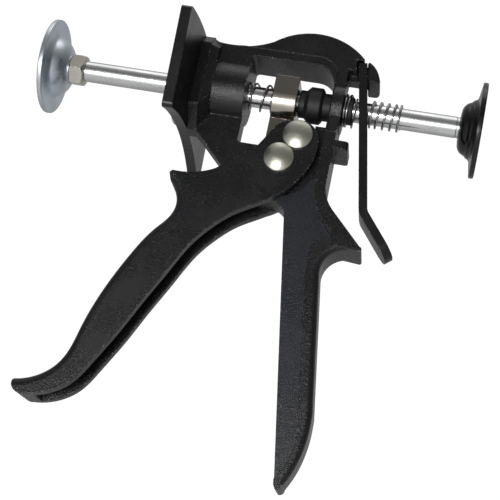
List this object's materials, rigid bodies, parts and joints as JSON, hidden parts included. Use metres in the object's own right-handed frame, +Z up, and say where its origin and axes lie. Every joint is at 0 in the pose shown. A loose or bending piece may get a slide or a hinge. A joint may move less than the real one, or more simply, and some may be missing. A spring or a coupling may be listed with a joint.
{
  "type": "push-rod spreader",
  "caption": "Pistol-grip hand press: squeezing the trigger walks a round rod with pressing discs forward past a swivelling pad plate; a thumb lever frees the rod.",
  "frame": {"origin": "middle of the flat pressing face of the front disc, on the push rod's axis", "axes": "+X along the push rod from the pressing face back to the user, +Z up away from the grip, +Y across the tool"},
  "size_m": [0.1991, 0.097, 0.2035],
  "materials": {
    "cast_frame": "semi-gloss black coating over a cast skin",
    "black_paint": "semi-gloss black",
    "gloss_black": "gloss black",
    "black_steel": "blackened, satin",
    "bare_steel": "turned, satin",
    "bright_steel": "ground and plated bright",
    "zinc_plate": "bright zinc plate",
    "nut_steel": "plain steel, satin",
    "rivet_steel": "nickel-bright, formed heads",
    "spring_steel": "drawn wire"
  },
  "bodies": {
    "frame": {"frame_casting": "cast_frame", "guide_bush": "black_steel", "pad_retainer": "zinc_plate", "lever_spring": "spring_steel", "bumper_spring": "spring_steel"},
    "trigger": {"trigger_channel": "cast_frame", "pivot_rivet": "rivet_steel", "pivot_tube": "rivet_steel", "drive_rivet": "rivet_steel", "drive_sleeve": "rivet_steel"},
    "drive": {"drive_block": "bare_steel", "return_spring": "spring_steel"},
    "lever": {"release_lever": "black_paint"},
    "rod": {"push_rod": "bright_steel", "front_disc": "zinc_plate", "front_washer": "zinc_plate", "front_nut": "nut_steel", "rear_disc": "gloss_black", "rear_washer": "bright_steel"},
    "pad": {"pressure_plate": "black_paint"}
  },
  "joints": [
    {"name": "trigger_pivot", "type": "hinge", "parent": "frame", "child": "trigger", "pos_m": [0.1145, 0, -0.0311], "axis": [0, -1, 0], "range_deg": [0, 30], "stiffness_Nm_per_rad": 0.4, "springref_deg": -34.38},
    {"name": "drive_slide", "type": "slide", "parent": "frame", "child": "drive", "axis": [-1, 0, 0], "range_m": [0, 0.0067], "deforming": ["return_spring"]},
    {"name": "lever_pivot", "type": "hinge", "parent": "frame", "child": "lever", "pos_m": [0.1443, 0, 0.0208], "axis": [0, 1, 0], "range_deg": [0, 5], "stiffness_Nm_per_rad": 0.5, "springref_deg": -28.65, "deforming": ["lever_spring"]},
    {"name": "rod_slide", "type": "slide", "parent": "frame", "child": "rod", "axis": [-1, 0, 0], "range_m": [-0.044, 0.0245]},
    {"name": "pad_swivel", "type": "hinge", "parent": "frame", "child": "pad", "pos_m": [0.068, 0, 0], "axis": [1, 0, 0], "range_deg": [-38, 38]}
  ],
  "couplings": [
    {"joint": "drive_slide", "follows": "trigger_pivot", "m_per_rad": 0.01276}
  ]
}
